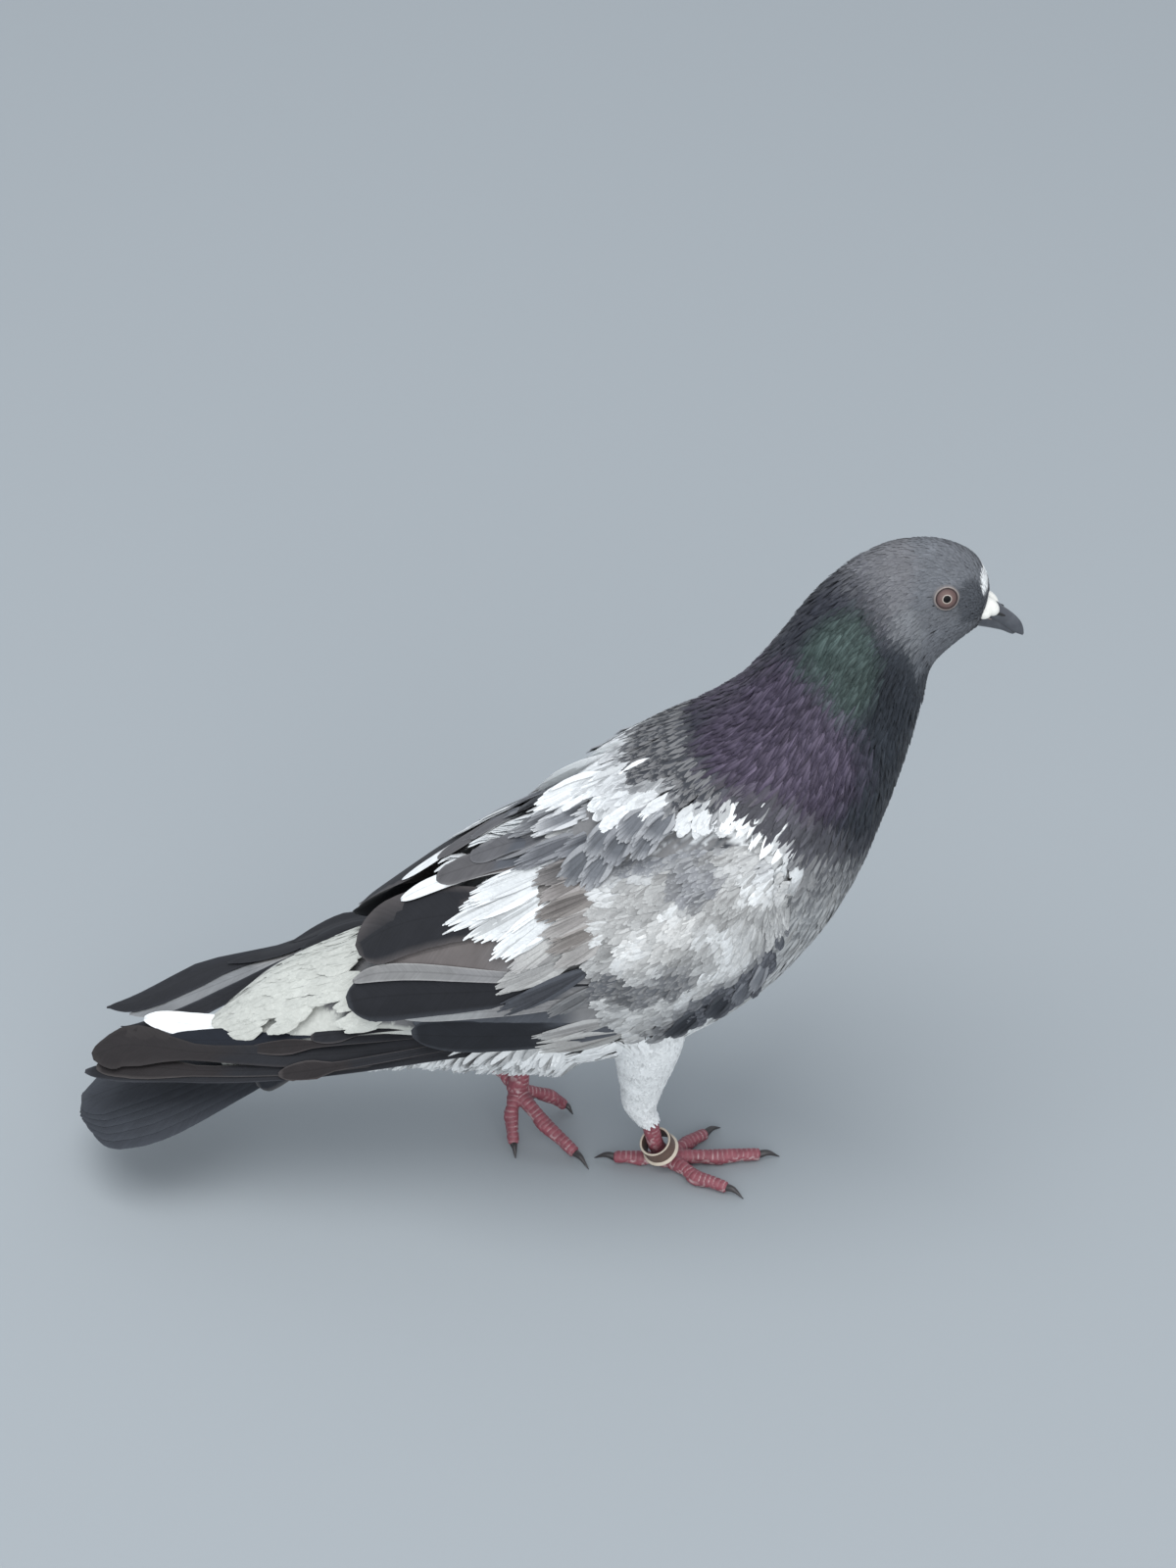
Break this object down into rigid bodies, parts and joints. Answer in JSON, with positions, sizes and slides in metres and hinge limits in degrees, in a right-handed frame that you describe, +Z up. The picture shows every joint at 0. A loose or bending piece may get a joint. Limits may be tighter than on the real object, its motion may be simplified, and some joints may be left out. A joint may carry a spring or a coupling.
{
  "type": "pigeon",
  "caption": "Life-size still model of a domestic pigeon stepping forward, with grizzled white, grey and black plumage and plain rings on its legs.",
  "frame": {"origin": "on the floor, under the middle of the bird's bounding box", "axes": "+X is the way the bird faces, +Y its left side, +Z up"},
  "size_m": [0.3092, 0.097, 0.2515],
  "materials": {
    "head_plumage": "soft matt slate-grey feathers with pale frosting",
    "neck_plumage": "dark feathers with a green and purple sheen",
    "body_plumage": "soft white and grey feathers",
    "wing_plumage": "white feathers grizzled with grey and black",
    "flight_feathers": "smooth dark brown-grey feathers with pale edges",
    "tail_feathers": "smooth blue-black feathers, white towards the root",
    "bill": "horn with a dull sheen",
    "cere": "powdery white skin",
    "eye": "wet and glossy, pinkish iris with a black pupil",
    "foot_skin": "scaled pink-red skin",
    "claw": "dull dark horn",
    "leg_ring": "brown plastic with a cream foot",
    "leg_band": "plain blue plastic"
  },
  "bodies": {
    "root": {"bill_lower": "bill", "bill_upper": "bill", "cere": "cere", "claw_hallux_left": "claw", "claw_hallux_right": "claw", "claw_inner_left": "claw", "claw_inner_right": "claw", "claw_middle_left": "claw", "claw_middle_right": "claw", "claw_outer_left": "claw", "claw_outer_right": "claw", "eye_left": "eye", "eye_right": "eye", "head": "head_plumage", "leg_band": "leg_band", "leg_ring": "leg_ring", "neck": "neck_plumage", "primaries_left": "flight_feathers", "primaries_right": "flight_feathers", "tail": "tail_feathers", "tarsus_left": "foot_skin", "tarsus_right": "foot_skin", "thigh_left": "body_plumage", "thigh_right": "body_plumage", "toe_hallux_left": "foot_skin", "toe_hallux_right": "foot_skin", "toe_inner_left": "foot_skin", "toe_inner_right": "foot_skin", "toe_middle_left": "foot_skin", "toe_middle_right": "foot_skin", "toe_outer_left": "foot_skin", "toe_outer_right": "foot_skin", "trunk": "body_plumage", "wing_left": "wing_plumage", "wing_right": "wing_plumage"}
  },
  "joints": []
}
